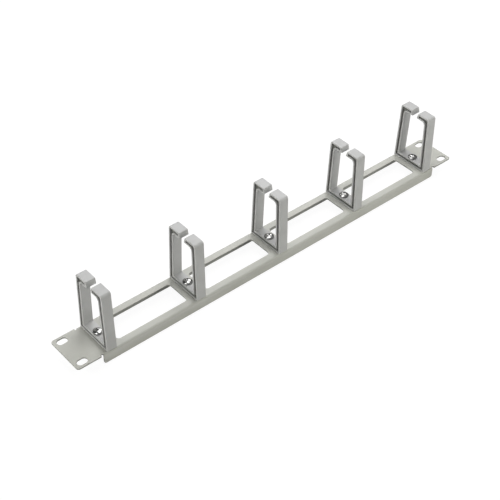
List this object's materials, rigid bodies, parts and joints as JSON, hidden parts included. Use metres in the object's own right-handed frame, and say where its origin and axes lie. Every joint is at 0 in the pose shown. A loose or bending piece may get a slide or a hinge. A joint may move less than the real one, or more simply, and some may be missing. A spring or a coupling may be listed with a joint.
{
  "type": "rack cable management panel",
  "caption": "Flanged 19-inch rack panel with slotted ears and windows, carrying a row of upright C-shaped plastic cable rings held by screws.",
  "frame": {"origin": "centre of the plane of the two flanges' rear edges, under the middle ring", "axes": "+X along the panel's width, +Y across its height, +Z out of its face, the way the rings stand"},
  "size_m": [0.4826, 0.044, 0.078],
  "materials": {
    "panel_paint": "light grey powder coat, fine texture, satin",
    "ring_plastic": "moulded light grey plastic, fine matt grain",
    "screw_nickel": "polished nickel plate",
    "zinc_steel": "bright zinc plate"
  },
  "bodies": {
    "root": {"panel": "panel_paint", "cable_ring_1": "ring_plastic", "ring_screw_1": "screw_nickel", "ring_washer_1": "zinc_steel", "ring_nut_1": "zinc_steel", "cable_ring_2": "ring_plastic", "ring_screw_2": "screw_nickel", "ring_washer_2": "zinc_steel", "ring_nut_2": "zinc_steel", "cable_ring_3": "ring_plastic", "ring_screw_3": "screw_nickel", "ring_washer_3": "zinc_steel", "ring_nut_3": "zinc_steel", "cable_ring_4": "ring_plastic", "ring_screw_4": "screw_nickel", "ring_washer_4": "zinc_steel", "ring_nut_4": "zinc_steel", "cable_ring_5": "ring_plastic", "ring_screw_5": "screw_nickel", "ring_washer_5": "zinc_steel", "ring_nut_5": "zinc_steel"}
  },
  "joints": []
}
